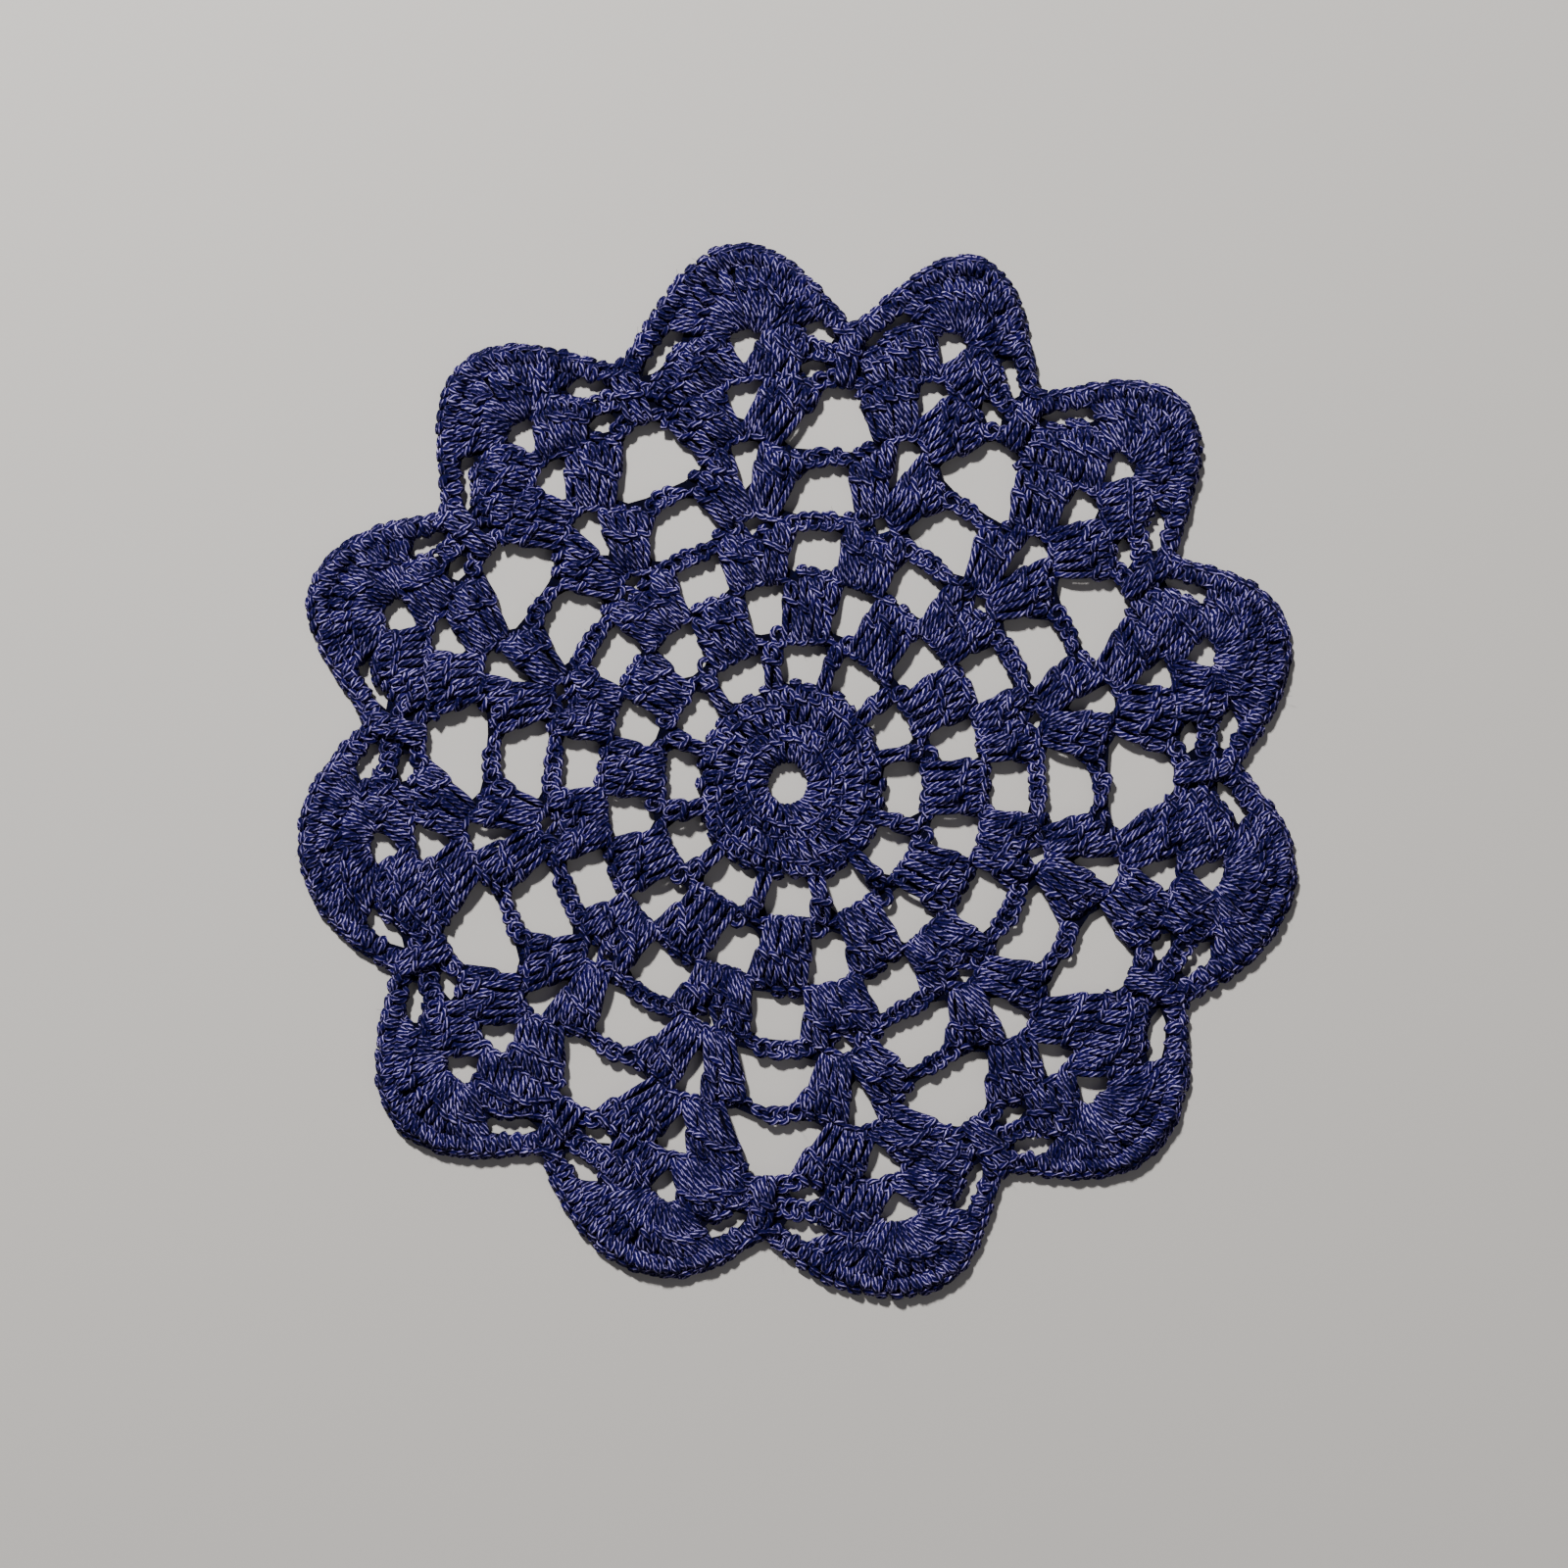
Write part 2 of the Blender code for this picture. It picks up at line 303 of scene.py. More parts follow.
def chained(start, end, start_out, end_out, middle_out, links, bend=2.0, width=1.6):
    """A run of chain links in each sector from one turn to another. Its distance out is
    bowed between the ends as 1 - |2t - 1| to the power of bend. The first link is drawn
    tight, because no link before it fills its eye."""
    share = np.linspace(0, 1, links + 1)
    turn = start[:, None] + (end - start)[:, None] * share
    bow = 1 - np.abs(2 * share - 1) ** bend
    straight = start_out + (end_out - start_out) * share
    out = straight + bow * (middle_out - (start_out + end_out) / 2)
    joints = by_hand(laid(turn, out), CHAIN_WANDER)
    along = joints[:, 1:] - joints[:, :-1]
    length = np.linalg.norm(along, axis=-1, keepdims=True)
    upward = np.stack([along[..., 1], -along[..., 0]], axis=-1) / length * YARN * width
    upward[:, 0] *= TIGHT
    return stitched(CHAIN_LINK, joints[:, :-1], along, upward)


def joined(*parts):
    """The parts of a round one after the other, in each sector, and on to the place where
    the next sector's first stitch begins."""
    onwards = np.roll(parts[0], -1, axis=0)[:, :1]
    return np.concatenate([*parts, onwards], axis=1)


# %% [markdown]
# ## From a path to a strand of yarn
#
# A curve object with a round bevel would draw the strands too. But for the twist of the
# plies the shader needs to know how many thicknesses along the yarn each point lies. So the
# tubes are worked out here as grids: a ring of points at every step of a smooth path, with
# the distance along the yarn and the way round it kept as a UV map.

# %% Smooth paths, rings round them and their meshes
STEPS_BETWEEN = 2
YARN_SIDES = 6
FLOOR_GAP = 0.01
ASKEW = (0.31, 0.17, 0.93)
# the yarn thickens and thins by this share of itself, and keeps each thickness so many steps
UNEVEN = 0.05
EVEN_STEPS = 6
# each strand's plies start so many thicknesses further on than those of the strand before
STRAND_SHIFT = 7.3


def smooth(paths, steps=STEPS_BETWEEN):
    """Catmull-Rom curves through every point of the paths: each stretch is a cubic whose
    slope at a point is half the way from the point before to the point after."""
    before = np.concatenate([2 * paths[:, :1] - paths[:, 1:2], paths[:, :-2]], axis=1)
    here, there = paths[:, :-1], paths[:, 1:]
    after = np.concatenate([paths[:, 2:], 2 * paths[:, -1:] - paths[:, -2:-1]], axis=1)
    t = (np.arange(steps) / steps)[:, None]
    here, there, before, after = (part[:, :, None] for part in (here, there, before, after))
    curve = 0.5 * (2 * here + (there - before) * t
                   + (2 * before - 5 * here + 4 * there - after) * t ** 2
                   + (3 * here - before - 3 * there + after) * t ** 3)
    curve = curve.reshape(paths.shape[0], -1, 3)
    return np.concatenate([curve, paths[:, -1:]], axis=1)


def unit(vectors):
    """The same directions, one long."""
    return vectors / np.maximum(np.linalg.norm(vectors, axis=-1, keepdims=True), 1e-9)


def carried_frames(paths):
    """Two directions square to each path, carried along it without turning round it: at
    each step the last one loses the part that points along the path. The first of all is
    square to the path's start and to a slanting direction that no path starts along."""
    forward = unit(np.gradient(paths, axis=1))
    first = np.empty_like(forward)
    start = np.cross(forward[:, 0], ASKEW)
    first[:, 0] = unit(start)
    for step in range(1, paths.shape[1]):
        ahead = forward[:, step]
        last = first[:, step - 1]
        first[:, step] = unit(last - ahead * np.sum(ahead * last, axis=-1, keepdims=True))
    return first, np.cross(forward, first)


def tube_arrays(paths, radius, sides):
    """Rings of points round the paths: centre + radius (cos a first + sin a second)."""
    first, second = carried_frames(paths)
    angle = 2 * np.pi * np.arange(sides) / sides
    ring = (np.cos(angle)[:, None] * first[:, :, None]
            + np.sin(angle)[:, None] * second[:, :, None])
    points = paths[:, :, None] + radius[..., None, None] * ring
    along = np.concatenate([
        np.zeros((paths.shape[0], 1)),
        np.cumsum(np.linalg.norm(np.diff(paths, axis=1), axis=-1), axis=1)], axis=1)
    return points, along


def tube_faces(strands, steps, sides):
    """Four-cornered faces between neighbouring rings of every strand."""
    strand, step, edge = np.meshgrid(
        np.arange(strands), np.arange(steps - 1), np.arange(sides), indexing="ij")
    start = (strand * steps + step) * sides
    following = (edge + 1) % sides
    quads = np.stack([start + edge, start + following,
                      start + sides + following, start + sides + edge], axis=-1)
    return quads.reshape(-1, 4), strand.ravel(), step.ravel(), edge.ravel()


def add_surface(name, points, corners, starts, uv):
    """A mesh object from arrays: points in millimetres on the chart's own origin, the
    corners of all faces in one row, where each face starts in it, and their UV places."""
    places = points.reshape(-1, 3) - [MIDDLE[0], MIDDLE[1], 0]
    mesh = bpy.data.meshes.new(name)
    mesh.vertices.add(len(places))
    mesh.vertices.foreach_set("co", (places * MILLIMETRE).astype(np.float32).ravel())
    mesh.loops.add(len(corners))
    mesh.loops.foreach_set("vertex_index", corners.astype(np.int32))
    mesh.polygons.add(len(starts))
    mesh.polygons.foreach_set("loop_start", starts.astype(np.int32))
    layer = mesh.uv_layers.new(name="yarn")
    layer.uv.foreach_set("vector", uv.astype(np.float32).ravel())
    mesh.update(calc_edges=True)
    mesh.shade_smooth()
    piece = bpy.data.objects.new(name, mesh)
    bpy.context.scene.collection.objects.link(piece)
    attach(piece, "root")
    return piece


def yarn_piece(name, control, thickness=YARN, sides=YARN_SIDES):
    """Strands of yarn along the control paths, closed at both ends and pressed flat where
    they would sink into the floor. u of the UV map counts thicknesses along the yarn and v
    runs once round it."""
    paths = smooth(control)
    paths[..., 2] = np.maximum(paths[..., 2], thickness / 2)
    strands, steps = paths.shape[:2]
    stretches = hand.normal(1, UNEVEN, (strands, steps // EVEN_STEPS + 1))
    uneven = np.repeat(stretches, EVEN_STEPS, axis=1)[:, :steps]
    points, along = tube_arrays(paths, thickness / 2 * uneven, sides)
    points[..., 2] = np.maximum(points[..., 2], FLOOR_GAP)
    quads, strand, step, edge = tube_faces(strands, steps, sides)
    first_ring = (np.arange(strands) * steps * sides)[:, None] + np.arange(sides)[::-1]
    last_ring = (np.arange(strands) * steps * sides)[:, None] + (steps - 1) * sides
    last_ring = last_ring + np.arange(sides)
    corners = np.concatenate([quads.ravel(), first_ring.ravel(), last_ring.ravel()])
    starts = np.concatenate([
        np.arange(len(quads)) * 4,
        len(quads) * 4 + np.arange(2 * strands) * sides])
    shift = STRAND_SHIFT * np.arange(strands)
    near, far = (along[strand, step + more] / thickness + shift[strand] for more in (0, 1))
    v_near, v_far = edge / sides, (edge + 1) / sides
    uv = np.stack([
        np.stack([near, v_near], axis=-1), np.stack([near, v_far], axis=-1),
        np.stack([far, v_far], axis=-1), np.stack([far, v_near], axis=-1)], axis=1)
    caps = np.zeros((2 * strands * sides, 2))
    uv = np.concatenate([uv.reshape(-1, 2), caps])
    piece = add_surface(name, points, corners, starts, uv)
    triangles = 2 * len(quads) + 2 * strands * (sides - 2)
    length = np.linalg.norm(np.diff(paths, axis=1), axis=-1).sum() / 1000
    print(f"{name}: {triangles} triangles, {length:.1f} m of yarn")
    return piece


# %% [markdown]
# ## The rounds, from the middle outwards
#
# Each round is a list of what the maker works in one sector, in order. The tall stitches of
# the first rounds stand side by side and make the solid disc. Then posts and chains open
# the net, clusters and shells fill it again, and the V-shaped shells of the upper rounds
# all grow from the small gap of the one before. Every sector is one strand here, and its
# end lies hidden in the next one's first stitch.

# %% The disc and the first net
sectors = np.arange(SECTORS)
# the stitches of full rows are laid this many times as wide, so that they close up
FULL = 1.3
DISC_FOOT_WANDER = 0.1
DISC_TOP_WANDER = 0.16


def ring_of(count, foot_out, top_out, shift):
    """count tall stitches in each sector, side by side all the way round."""
    offsets = (np.arange(count) + 0.5) / count - 0.5 + shift
    turn = sectors[:, None] + offsets
    feet = by_hand(laid(turn, foot_out), DISC_FOOT_WANDER)
    tops = by_hand(laid(turn, top_out), DISC_TOP_WANDER)
    upward = tops - feet
    height = np.linalg.norm(upward, axis=-1, keepdims=True)
    along = np.stack([-upward[..., 1], upward[..., 0]], axis=-1) / height * YARN * FULL
    return stitched(TALL_STITCH, feet, along, upward, BULGE / 2)


first_round = ring_of(2, 4.9, 11.6, 0.0)
second_round = ring_of(3, 11.9, 19.0, 0.1)

POST_WIDTH = 1.5
# a chain takes up the last places of the stitch that it leaves
LEAD_OUT = 3
posts = upright(TALL_STITCH, sectors, [0.0], [19.3], [0.0], [28.4], POST_WIDTH)
post_chains = chained(sectors + 0.09, sectors + 0.91, 29.0, 29.0, 29.3, 5, 2.0, 1.9)
third_round = joined(posts[:, :-LEAD_OUT], post_chains)

# %% Clusters between the posts, with chains over the windows
clusters = upright(
    TALL_STITCH, sectors + 0.5,
    [-3.3, -1.1, 1.1, 3.3], [28.3] * 4, [-4.5, -1.5, 1.5, 4.4], [40.6, 40.8, 40.8, 40.6],
    FULL)
window_chains = chained(sectors + 0.77, sectors + 1.23, 41.2, 41.2, 41.6, 4)
fourth_round = joined(clusters, window_chains)


# %% Shells: two arms of tall stitches with an eye between them
Chain = namedtuple(
    "Chain", "start start_out middle_out end_out end links bend width", defaults=(2.0, 1.6))


def strung(chain, start_turn, end_turn):
    """A chain between two places: sides from the start's and the end's line, and outs."""
    start = start_turn + chain.start / (chain.start_out * SECTOR_ANGLE)
    end = end_turn + chain.end / (chain.end_out * SECTOR_ANGLE)
    return chained(start, end, chain.start_out, chain.end_out, chain.middle_out,
                   chain.links, chain.bend, chain.width)


# and the first places of the stitch that it comes to
LEAD_IN = 2


def shell_round(feet, tops, over, past, mirrored):
    """One shell a sector and the chain from it to the next. feet and tops list the side and
    out of the far arm's stitches from the eye outwards, and the near arm mirrors the first
    ones. over is the chain over the shell's own eye and past the one that crosses the tie.
    The chain past the tie pulls at both arms, so it takes up the first places of the near
    arm and the last ones of the far arm."""
    foot_side, foot_out = np.array(feet).T
    top_side, top_out = np.array(tops).T
    mirror = slice(mirrored - 1, None, -1)
    near_arm = upright(TALL_STITCH, sectors, -foot_side[mirror], foot_out[mirror],
                       -top_side[mirror], top_out[mirror], FULL)
    far_arm = upright(TALL_STITCH, sectors, foot_side, foot_out, top_side, top_out, FULL)
    bridge = strung(over, sectors, sectors)
    loop = strung(past, sectors, sectors + 1)
    return joined(near_arm[:, LEAD_IN:], bridge, far_arm[:, :-LEAD_OUT], loop)


fifth_round = shell_round(
    [(0.7, 40.9), (1.9, 40.9), (3.1, 40.9), (4.4, 40.9)],
    [(1.1, 49.4), (3.7, 50.4), (5.1, 52.6), (6.6, 51.8)],
    Chain(-3.7, 52.8, 55.9, 52.8, 3.7, 4), Chain(7.4, 51.3, 51.6, 51.3, -7.4, 6), 4)
sixth_round = shell_round(
    [(0.7, 55.6), (2.0, 55.3), (3.2, 54.9), (4.6, 54.2)],
    [(4.9, 69.2), (6.3, 67.2), (8.6, 65.6), (11.0, 64.0)],
    Chain(-4.4, 69.7, 71.3, 69.7, 4.4, 4), Chain(12.3, 63.8, 64.6, 63.8, -12.3, 4), 4)
seventh_round = shell_round(
    [(0.7, 71.2), (2.2, 71.0), (3.7, 70.5), (5.2, 69.8), (6.8, 68.7)],
    [(5.9, 80.8), (8.2, 81.0), (10.6, 80.6), (12.9, 79.5), (14.9, 77.9)],
    Chain(-5.0, 81.5, 83.2, 81.5, 5.0, 4), Chain(15.6, 79.5, 80.5, 79.5, -15.6, 5, 1.3, 1.5), 5)
eighth_round = shell_round(
    [(0.8, 83.2), (2.4, 83.0), (4.0, 82.5), (5.6, 81.9), (7.2, 81.3), (8.8, 80.8),
     (10.6, 80.4), (12.2, 80.2), (13.8, 80.2)],
    [(6.4, 91.2), (8.0, 91.5), (9.6, 91.4), (11.2, 90.9), (12.6, 89.9), (13.4, 88.2),
     (15.1, 87.2), (16.6, 85.9), (17.8, 84.2)],
    Chain(-5.6, 91.7, 93.6, 91.7, 5.6, 4), Chain(18.2, 85.0, 85.0, 86.4, -13.8, 7, 1.3, 1.9), 6)

# %% Fans and the scalloped border
FAN_STITCHES = 14
FAN_SPREAD = math.radians(70)
FIRST_SWING = math.radians(78)
FAN_BULGE = 2.0
FAN_FOOT_HALF = 4.2
FAN_FOOT_OUT = 90.4
FAN_FOOT_RISE = 2.2
FAN_TOP_HALF = 14.6
FAN_TOP_OUT = 92.3
FAN_TOP_RISE = 11.0
swing = np.linspace(-FIRST_SWING, FAN_SPREAD, FAN_STITCHES)
fans = upright(
    TALL_STITCH, sectors,
    FAN_FOOT_HALF * np.sin(swing) / math.sin(FAN_SPREAD),
    FAN_FOOT_OUT + FAN_FOOT_RISE * np.cos(swing),
    FAN_TOP_HALF * np.sin(swing) / math.sin(FAN_SPREAD),
    FAN_TOP_OUT + FAN_TOP_RISE * np.cos(swing),
    bulge=FAN_BULGE)
fan_chains = strung(Chain(15.4, 96.4, 89.2, 96.4, -15.4, 8, 1.2), sectors, sectors + 1)
ninth_round = joined(fans, fan_chains)

BORDER_STITCHES = 24
BORDER_DEPTH = 4.3
BORDER_HEIGHT = 3.0
BORDER_WANDER = 0.1
across = np.linspace(-1, 1, 401)
side, out = edge_of_petal(across)
travelled = np.concatenate([[0], np.cumsum(np.hypot(np.diff(side), np.diff(out)))])
places = (np.arange(BORDER_STITCHES) + 0.5) / BORDER_STITCHES * travelled[-1]
edge_side = np.interp(places, travelled, side)
edge_out = np.interp(places, travelled, out)
slope_side = np.interp(places, travelled, np.gradient(side, travelled))
slope_out = np.interp(places, travelled, np.gradient(out, travelled))
foot_side = edge_side + BORDER_DEPTH * slope_out
foot_out = edge_out - BORDER_DEPTH * slope_side
top_side = foot_side - BORDER_HEIGHT * slope_out
top_out = foot_out + BORDER_HEIGHT * slope_side
tenth_round = upright(SHORT_STITCH, sectors, foot_side, foot_out, top_side, top_out,
                      wander=BORDER_WANDER)

# %% The knots that draw the loops together at the ties
KNOT_WIDTH = 1.3
KNOT_RISE = 0.8
KNOT_BULGE = 0.5
KNOT_SIDES = [-0.9, 0.9]
KNOT_START = [79.8, 79.8]
KNOT_END = [90.2, 90.2]
knots = upright(TALL_STITCH, sectors + 0.5, KNOT_SIDES, KNOT_START, KNOT_SIDES, KNOT_END,
                KNOT_WIDTH, bulge=KNOT_BULGE)
knots[..., 2] += KNOT_RISE

# %% Loose fibres
# each starts just inside the yarn, leaves it, lies along it and curls up a little
FIBRES = 3600
FIBRE_THICKNESS = 0.05
FIBRE_ROOT = 0.8
FIBRE_REACH = 0.55
FIBRE_LIE = 1.1
FIBRE_CURL = 1.6
FIBRE_UPWARD = (0, 0, 0.8)
FIBRE_BEND = 0.3
FIBRE_BEND_UPWARD = (0, 0, 0.15)
all_rounds = [first_round, second_round, third_round, fourth_round, fifth_round,
              sixth_round, seventh_round, eighth_round, ninth_round, tenth_round]
anchors = np.concatenate([path[:, :-1].reshape(-1, 3) for path in all_rounds])
onwards = np.concatenate([np.diff(path, axis=1).reshape(-1, 3) for path in all_rounds])
picked = hand.choice(len(anchors), FIBRES, replace=False)
outwards = unit(hand.normal(0, 1, (FIBRES, 3)) + FIBRE_UPWARD)
bent = hand.normal(0, FIBRE_BEND, (FIBRES, 3)) + FIBRE_BEND_UPWARD
lie = unit(onwards[picked]) * hand.uniform(-1, 1, (FIBRES, 1))
share = np.linspace(0, 1, 3)[:, None]
fibres = (anchors[picked][:, None]
          + outwards[:, None] * (FIBRE_ROOT * YARN / 2 + FIBRE_REACH * share)
          + lie[:, None] * FIBRE_LIE * share
          + bent[:, None] * FIBRE_CURL * share ** 2)

# %% One piece for each round
yarn_pieces = [
    yarn_piece("disc_first_round", first_round),
    yarn_piece("disc_second_round", second_round),
    yarn_piece("post_round", third_round),
    yarn_piece("cluster_round", fourth_round),
    yarn_piece("low_shell_round", fifth_round),
    yarn_piece("middle_shell_round", sixth_round),
    yarn_piece("high_shell_round", seventh_round),
    yarn_piece("top_shell_round", eighth_round),
    yarn_piece("fan_round", ninth_round),
    yarn_piece("border_round", tenth_round),
    yarn_piece("tie_knots", knots),
    yarn_piece("loose_fibres", fibres, FIBRE_THICKNESS, 3),
]

# %% [markdown]
# ## The heart of the cloth
#
# Between the strands of dense crochet the eye meets more yarn, dark in the shade. A thin
# sheet in the middle of the cloth stands for those hidden turns. Its near-black colour is
# painted shade, and it also fills small gaps between the strands with painted shade. It is
# the plate's own outline and gaps, drawn in from every edge so that the strands cover its
# rim, and made thin.
# Working it out from the plate keeps both on the same lines.

# %% The plate drawn in and made thin
WEB_INSET = 0.9
WEB_BOTTOM = 1.1
WEB_TOP = 1.9


def plate_rim():
    """The rim of the plate's underside: its points, and its edges with the cloth on their
    left. An edge of the underside is on the rim when no other face of it runs back along
    that edge."""
    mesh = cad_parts["doily"].data
    points = np.empty(len(mesh.vertices) * 3)
    mesh.vertices.foreach_get("co", points)
    points, index = np.unique(
        np.round(points.reshape(-1, 3) / MILLIMETRE, 4), axis=0, return_inverse=True)
    corners = np.empty(len(mesh.polygons) * 3, int)
    mesh.polygons.foreach_get("vertices", corners)
    corners = index.ravel()[corners].reshape(-1, 3)
    under = corners[(points[corners, 2] < 0.01).all(axis=1)]
    start, end = under.ravel(), np.roll(under, -1, axis=1).ravel()
    rim = ~np.isin(start * len(points) + end, end * len(points) + start)
    used, edges = np.unique(np.stack([end[rim], start[rim]], axis=1), return_inverse=True)
    return points[used, :2], edges.reshape(-1, 2)


def drawn_in(points, edges, inset):
    """Each point moved into the cloth along the mean of its two edges' normals, divided by
    the cosine of half the turn between them, so that every edge moves by the inset."""
    along = unit(points[edges[:, 1]] - points[edges[:, 0]])
    inwards = np.stack([-along[:, 1], along[:, 0]], axis=1)
    mean = np.zeros_like(points)
    np.add.at(mean, edges[:, 0], inwards / 2)
    np.add.at(mean, edges[:, 1], inwards / 2)
    size = np.maximum(np.linalg.norm(mean, axis=1, keepdims=True), 0.5)
    return points + inset * mean / size ** 2


def inside(places, points, edges):
    """Whether each place lies in the area that the edges close in: a line from it straight
    to the right then crosses an odd number of them."""
    (x_start, y_start), (x_end, y_end) = points[edges[:, 0]].T, points[edges[:, 1]].T
    x, y = places[:, :1], places[:, 1:]
    passes = (y_start > y) != (y_end > y)
    slope = (x_end - x_start) / np.where(y_end == y_start, 1, y_end - y_start)
    return (passes & (x_start + (y - y_start) * slope > x)).sum(axis=1) % 2 == 1


def thin_sheet(name, points, edges, bottom, top):
    """A closed sheet between two heights: the area inside the edges as triangles, once
    facing down and once facing up, and a wall of quads along every edge of it."""
    flat, _, faces, *_ = delaunay_2d_cdt(
        [Vector(point) for point in points], edges.tolist(), [], 0, 1e-5)
    flat = np.array([tuple(point) for point in flat])
    cover = np.array(faces)
    cover = cover[inside(flat[cover].mean(axis=1), points, edges)]
    count = len(flat)
    start, end = cover.ravel(), np.roll(cover, -1, axis=1).ravel()
    rim = ~np.isin(start * count + end, end * count + start)
    walls = np.stack([start[rim], start[rim] + count, end[rim] + count, end[rim]], axis=1)
    places = np.concatenate([
        np.column_stack([flat, np.full(count, bottom)]),
        np.column_stack([flat, np.full(count, top)])])
    mesh = bpy.data.meshes.new(name)
    mesh.from_pydata((places * MILLIMETRE).tolist(), [],
                     cover[:, ::-1].tolist() + (cover + count).tolist() + walls[:, ::-1].tolist())
    web = bpy.data.objects.new(name, mesh)
    bpy.context.scene.collection.objects.link(web)
    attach(web, "root")
    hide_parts("doily")
    print(f"{name}: {len(cover) * 2 + len(walls) * 2} triangles")
    return web


rim_points, rim_edges = plate_rim()
# the sheet stands for hidden yarn, and its colour is painted shade
web = thin_sheet("hidden_yarn_and_shade_web", drawn_in(rim_points, rim_edges, WEB_INSET), rim_edges,
                 WEB_BOTTOM, WEB_TOP)

# %% [markdown]
# ## Navy cotton
#
# The yarn is a heathered navy cotton of several plies. Its base is a deep blue, darkened
# between the plies as painted shade, and short bright streaks along the plies are painted
# highlights where fibres catch the light. Colour and bump are both drawn in the yarn's own
# UV map, so that they twist with it through every loop. An image of yarn would blur in
# close-up and repeat.

# %% A small language for shader sums
class Signal:
    """One output of a shader node. Sums and products of signals, and of a signal and a
    number either way round, add the Math nodes that work them out."""

    def __init__(self, tree, socket):
        self.tree = tree
        self.socket = socket

    def math(self, operation, *others):
        return node(self.tree, "ShaderNodeMath", {"operation": operation}, self, *others)

    def __add__(self, other):
        return self.math("ADD", other)

    def __mul__(self, other):
        return self.math("MULTIPLY", other)

    __radd__ = __add__
    __rmul__ = __mul__


def node(tree, kind, settings, *values, output=0, **named):
    """Adds one node: its settings first, then the values or signals of its sockets, by
    order or by name, and returns the asked output as a signal."""
    made = tree.nodes.new(kind)
    for key, value in settings.items():
        setattr(made, key, value)
    sockets = list(zip(made.inputs, values))
    sockets += [(made.inputs[key.replace("_", " ")], value) for key, value in named.items()]
    for socket, value in sockets:
        if isinstance(value, Signal):
            tree.links.new(value.socket, socket)
        else:
            socket.default_value = value
    return Signal(tree, made.outputs[output])


def blended(tree, factor, first, second):
    """Colour first where factor is 0 and second where it is 1."""
    made = tree.nodes.new("ShaderNodeMix")
    made.data_type = "RGBA"
    sockets = (made.inputs[0], factor), (made.inputs[6], first), (made.inputs[7], second)
    for socket, value in sockets:
        if isinstance(value, Signal):
            tree.links.new(value.socket, socket)
        else:
            socket.default_value = value
    return Signal(tree, made.outputs[2])


def ramp(tree, signal, low_end, high_end):
    """0 below low_end and 1 above high_end, with a soft passage between."""
    return node(tree, "ShaderNodeMapRange", {"interpolation_type": "SMOOTHSTEP"},
                signal, low_end, high_end, 0.0, 1.0)


def plain_material(name, colour, roughness):
    """A Principled material of one colour, and its tree and shader."""
    material = bpy.data.materials.new(name)
    material.use_nodes = True
    shader = material.node_tree.nodes["Principled BSDF"]
    shader.inputs["Base Color"].default_value = colour
    shader.inputs["Roughness"].default_value = roughness
    return material, material.node_tree, shader


# %% The yarn's finish
# painted shade: the near-black navy of the sheet between the strands
NAVY_IN_SHADE = (0.0003, 0.0002, 0.007, 1)
# painted shade: the deep navy of the valleys between the plies, also the darker tone of the heather
DEEP_NAVY = (0.0002, 0.0001, 0.028, 1)
NAVY = (0.0075, 0.0014, 0.098, 1)
# painted highlight: the pale colour of fibres catching the light
GLINT = (0.60, 0.51, 0.98, 1)
PLY_LAY = 4.4
PLIES = 4
STREAK_LENGTHS = 1.4
STREAKS_ROUND = 3.0
HEATHER_SCALE = 240.0
FIBRE_END_SCALE = 1500.0


def yarn_material():
    """Deep navy between the plies as painted shade, navy on them, and short pale streaks
    along them as painted highlights, where fibres catch the light. A broad noise shades whole
    stitches, as heathered yarn is, and a fine one breaks the streaks where single fibres end."""
    material, tree, shader = plain_material("navy_cotton", NAVY, 0.78)
    uv = node(tree, "ShaderNodeUVMap", {"uv_map": "yarn"})
    parts = tree.nodes.new("ShaderNodeSeparateXYZ")
    tree.links.new(uv.socket, parts.inputs[0])
    along, round_it = Signal(tree, parts.outputs[0]), Signal(tree, parts.outputs[1])
    angle = (round_it + along * (1 / PLY_LAY)) * (2 * math.pi)
    ply = 0.5 + 0.5 * (angle * PLIES).math("COSINE")
    around_x = angle.math("COSINE")
    around_y = angle.math("SINE")
    streak_place = node(tree, "ShaderNodeCombineXYZ", {}, along * STREAK_LENGTHS,
                        around_x * STREAKS_ROUND, around_y * STREAKS_ROUND)
    streaks = node(tree, "ShaderNodeTexNoise", {}, Vector=streak_place, Scale=1.0, Detail=2.0,
                   Roughness=0.5)
    # painted highlight: pale streaks along the plies, strongest on their crests
    glint = ramp(tree, streaks * 0.7 + ply * 0.3, 0.57, 0.70)
    places = node(tree, "ShaderNodeTexCoord", {}, output=3)
    heather = node(tree, "ShaderNodeTexNoise", {}, Vector=places, Scale=HEATHER_SCALE,
                   Detail=2.0)
    shade = ramp(tree, heather, 0.38, 0.62)
    ends = node(tree, "ShaderNodeTexNoise", {}, Vector=places, Scale=FIBRE_END_SCALE,
                Detail=1.0)
    whole = ramp(tree, ends, 0.40, 0.58)
    # painted shade: deep navy in the valleys between the plies, mixed with the heather's random
    # tone
    base = blended(tree, ply * ply * 0.5 + shade * 0.5, DEEP_NAVY, NAVY)
    colour = blended(tree, glint * (shade * 0.75 + whole * 0.25), base, GLINT)
    tree.links.new(colour.socket, shader.inputs["Base Color"])
    shader.inputs["Sheen Weight"].default_value = 0.02
    shader.inputs["Sheen Roughness"].default_value = 0.4
    shader.inputs["Specular IOR Level"].default_value = 0.1
    bump = node(tree, "ShaderNodeBump", {}, Strength=0.9, Distance=0.00032,
                Height=ply * 0.7 + streaks * 0.5)
    tree.links.new(bump.socket, shader.inputs["Normal"])
    return material


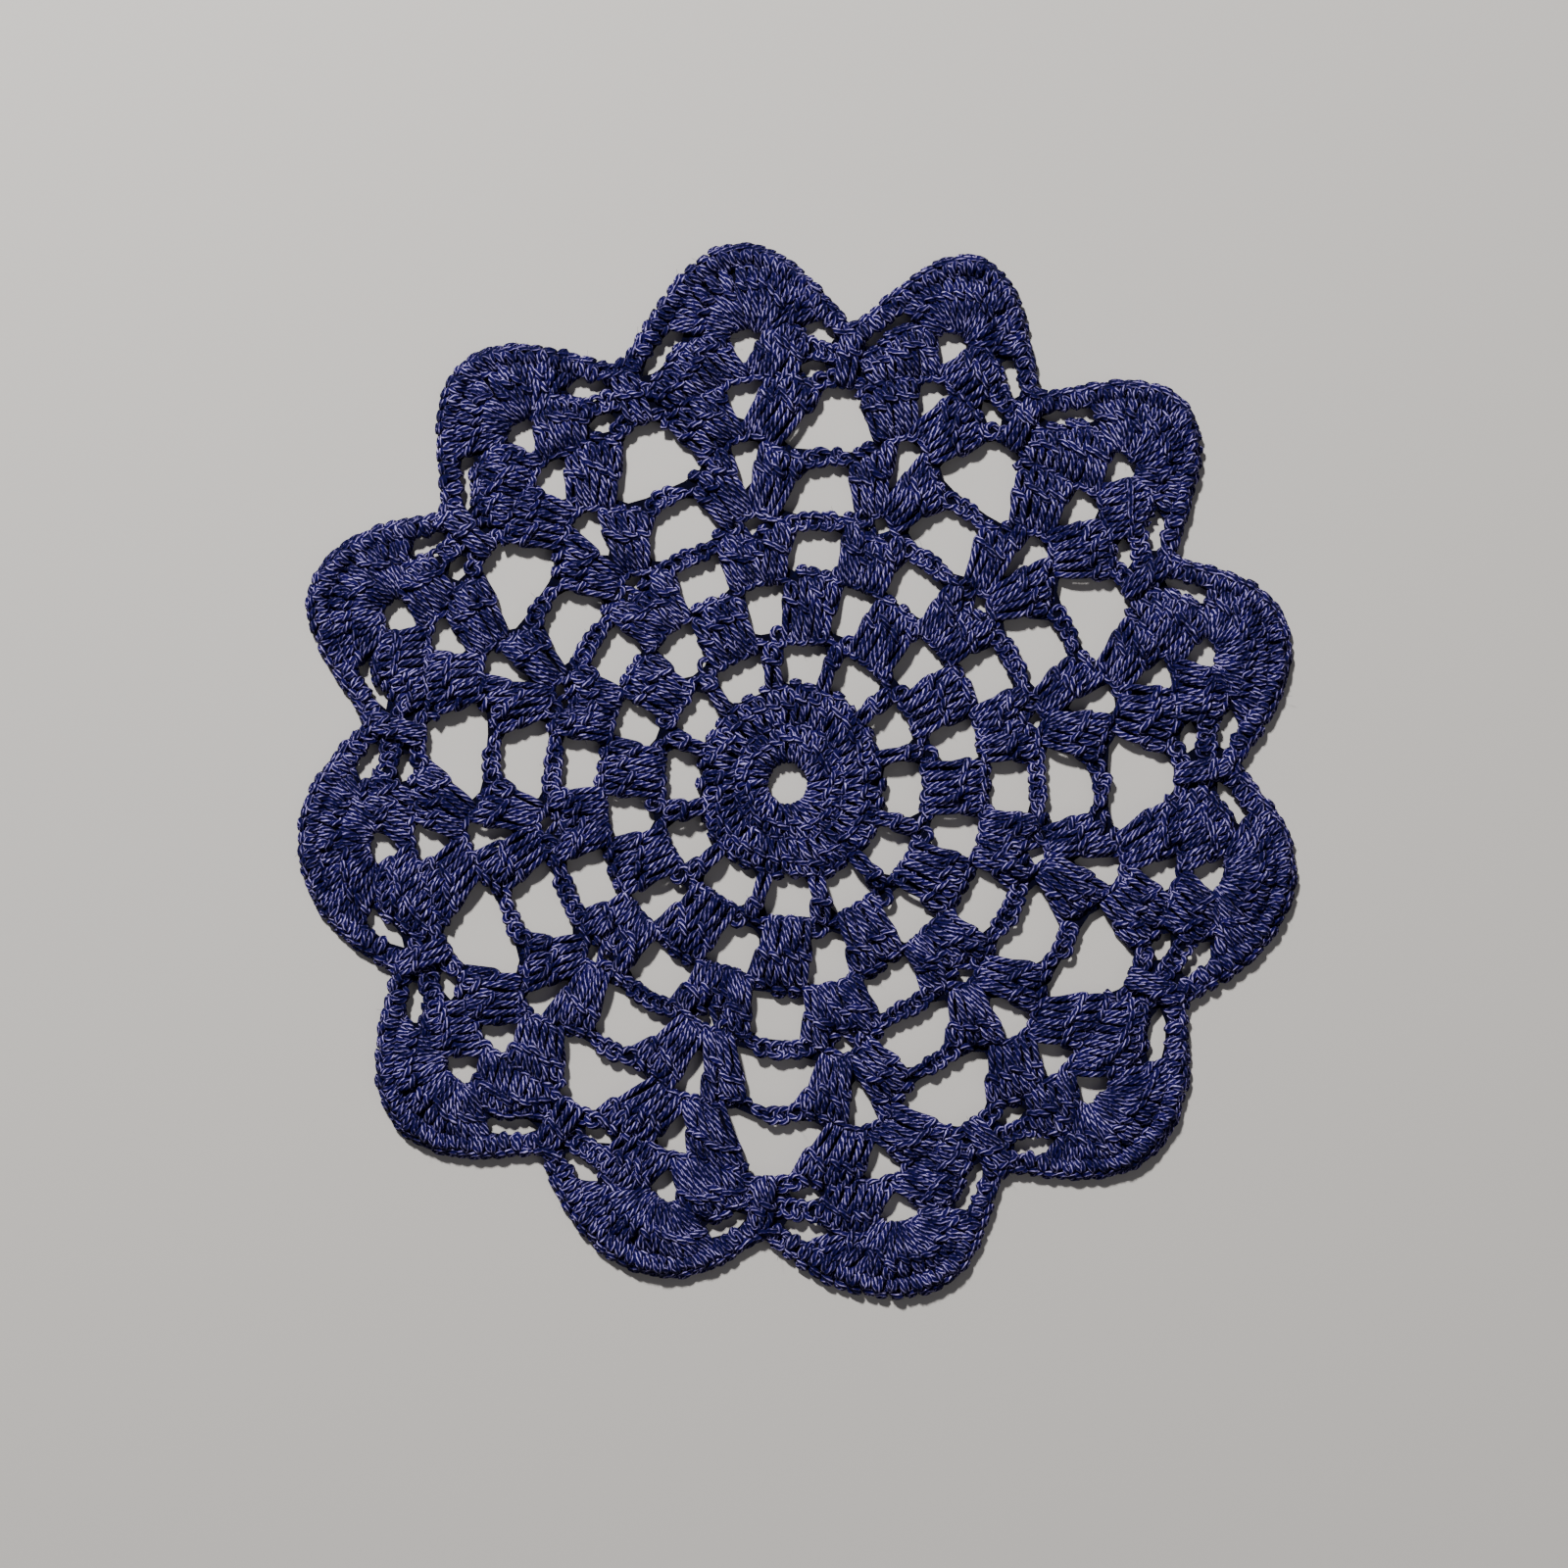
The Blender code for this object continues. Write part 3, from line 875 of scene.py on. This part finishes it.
def web_material():
    """The same navy, darkened nearly to black as painted shade between the strands."""
    material, tree, shader = plain_material("navy_cotton_in_shade", NAVY_IN_SHADE, 0.9)
    places = node(tree, "ShaderNodeTexCoord", {}, output=3)
    fluff = node(tree, "ShaderNodeTexNoise", {}, Vector=places, Scale=900.0, Detail=3.0)
    # painted shade: near-black navy with a little random fluff
    colour = blended(tree, ramp(tree, fluff, 0.5, 0.9), NAVY_IN_SHADE, DEEP_NAVY)
    tree.links.new(colour.socket, shader.inputs["Base Color"])
    shader.inputs["Specular IOR Level"].default_value = 0.1
    bump = node(tree, "ShaderNodeBump", {}, Strength=0.8, Distance=0.0003, Height=fluff)
    tree.links.new(bump.socket, shader.inputs["Normal"])
    return material


navy_cotton = yarn_material()
for piece in yarn_pieces:
    piece.data.materials.append(navy_cotton)
web.data.materials.append(web_material())

# %% [markdown]
# ## The floor, the light and the camera
#
# The doily lies flat and is seen from straight above, lit from the upper left, so that each
# gap shows a short shadow along its upper left rim. The floor is plain and pale.

# %% Floor, lights and camera
FLOOR_HALF = 3.0
FLOOR_COLOUR = (0.62, 0.59, 0.55, 1)
floor_mesh = bpy.data.meshes.new("floor")
floor_corners = [(-FLOOR_HALF, -FLOOR_HALF, 0), (FLOOR_HALF, -FLOOR_HALF, 0),
                 (FLOOR_HALF, FLOOR_HALF, 0), (-FLOOR_HALF, FLOOR_HALF, 0)]
floor_mesh.from_pydata(floor_corners, [], [(0, 1, 2, 3)])
floor = bpy.data.objects.new("floor", floor_mesh)
bpy.context.scene.collection.objects.link(floor)
floor_mesh.materials.append(plain_material("pale_floor", FLOOR_COLOUR, 0.6)[0])


def aimed(thing, place, target):
    """Puts a lamp or camera at a place, looking at the target."""
    thing.location = place
    thing.rotation_euler = (Vector(target) - Vector(place)).to_track_quat("-Z", "Y").to_euler()


def area_light(name, place, size, power):
    """A square soft light, aimed at the middle of the doily."""
    light = bpy.data.lights.new(name, "AREA")
    light.size = size
    light.energy = power
    lamp = bpy.data.objects.new(name, light)
    bpy.context.scene.collection.objects.link(lamp)
    aimed(lamp, place, (0, 0, 0))
    return lamp


area_light("key_light", place=(-0.38, 0.88, 1.05), size=0.12, power=31.5)
area_light("fill_light", place=(0.9, -0.7, 1.2), size=1.2, power=2.4)
world = bpy.data.worlds.new("studio")
world.use_nodes = True
background = world.node_tree.nodes["Background"]
background.inputs["Color"].default_value = (0.86, 0.85, 1.0, 1)
background.inputs["Strength"].default_value = 0.075
bpy.context.scene.world = world

FRAME_WIDTH = 0.320
CAMERA_DISTANCE = 0.62
SENSOR = 36
AIM = Vector((-0.0027, -0.0028, 0.0015))
camera_data = bpy.data.cameras.new("camera")
camera_data.sensor_width = SENSOR
camera_data.lens = SENSOR * CAMERA_DISTANCE / FRAME_WIDTH
camera_data.clip_start = 0.01
camera = bpy.data.objects.new("camera", camera_data)
bpy.context.scene.collection.objects.link(camera)
aimed(camera, AIM + Vector((0, 0, CAMERA_DISTANCE)), AIM)
bpy.context.scene.camera = camera
